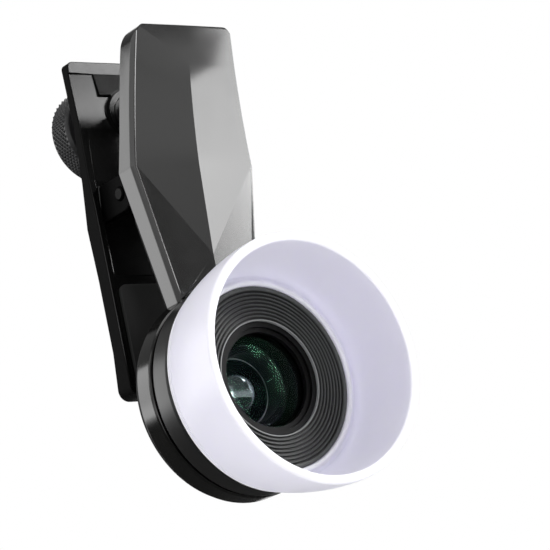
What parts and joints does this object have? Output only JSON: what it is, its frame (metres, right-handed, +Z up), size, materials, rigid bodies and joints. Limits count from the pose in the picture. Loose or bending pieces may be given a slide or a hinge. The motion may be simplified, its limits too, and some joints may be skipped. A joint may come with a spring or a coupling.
{
  "type": "clip-on phone lens",
  "caption": "Add-on lens for a telephone: a sprung clip with padded jaws and a locking screw carries a screwed-in lens and a pushed-on white diffuser hood.",
  "frame": {"origin": "on the lens axis, in the plane where the front jaw's pad meets the back of the telephone", "axes": "+Y into the telephone, along the lens axis, so the lens looks along -Y; +Z up towards the finger levers; +X across the clip"},
  "size_m": [0.0458, 0.0523, 0.0927],
  "materials": {
    "clip_black": "smooth glossy black moulding with soft grey reflections",
    "pad_rubber": "matt soft black rubber",
    "insert_brass": "turned brass",
    "pin_steel": "drawn bright steel",
    "pin_black": "drawn steel, blackened",
    "nut_black": "turned steel, blackened",
    "bush_plastic": "plain black moulding",
    "spring_steel": "bright spring wire",
    "foot_plastic": "plain dark moulding",
    "knob_black": "satin dark grey with a cut rim",
    "mount_black": "turned aluminium, black anodised",
    "barrel_black": "turned aluminium, satin black anodised",
    "cell_black": "black anodised, dull",
    "bezel_black": "black anodised with fine turned ridges",
    "coated_glass": "clear with a green and violet coating",
    "hood_white": "milky translucent white"
  },
  "bodies": {
    "front_jaw": {"front_arm": "clip_black", "front_jaw_pad": "pad_rubber", "thread_insert": "insert_brass", "pivot_pin": "pin_black", "spring_bushing": "bush_plastic", "torsion_spring": "spring_steel"},
    "rear_jaw": {"rear_arm": "clip_black", "rear_jaw_pad": "pad_rubber", "nut_insert": "nut_black"},
    "screw_end": {"screw_foot": "foot_plastic"},
    "knob_turning": {"clamp_stud": "pin_steel", "knob": "knob_black"},
    "lens": {"lens_mount": "mount_black", "lens_barrel": "barrel_black", "inner_cell": "cell_black", "ridged_bezel": "bezel_black", "middle_glass": "coated_glass", "spacer_ring": "cell_black", "front_glass": "coated_glass", "front_retaining_ring": "cell_black", "rear_glass": "coated_glass", "rear_retaining_ring": "cell_black"},
    "hood": {"diffuser_hood": "hood_white"}
  },
  "joints": [
    {"name": "clip_hinge", "type": "hinge", "parent": "front_jaw", "child": "rear_jaw", "pos_m": [0, 0.0041, 0.041], "axis": [1, 0, 0], "range_deg": [-10, 15], "stiffness_Nm_per_rad": 0.4, "deforming": ["torsion_spring"]},
    {"name": "screw_travel", "type": "slide", "parent": "rear_jaw", "child": "screw_end", "axis": [0, 1, 0], "range_m": [-0.002, 0.0035]},
    {"name": "knob_turn", "type": "hinge", "parent": "screw_end", "child": "knob_turning", "pos_m": [0, 0.015, 0.0589], "axis": [0, 1, 0], "range_deg": [-901, 1576]},
    {"name": "lens_unscrew", "type": "slide", "parent": "front_jaw", "child": "lens", "axis": [0, -1, 0], "range_m": [0, 0.012]},
    {"name": "hood_pull", "type": "slide", "parent": "lens", "child": "hood", "axis": [0, -1, 0], "range_m": [0, 0.01]}
  ],
  "couplings": [
    {"joint": "knob_turn", "follows": "screw_travel", "rad_per_m": 7854}
  ]
}
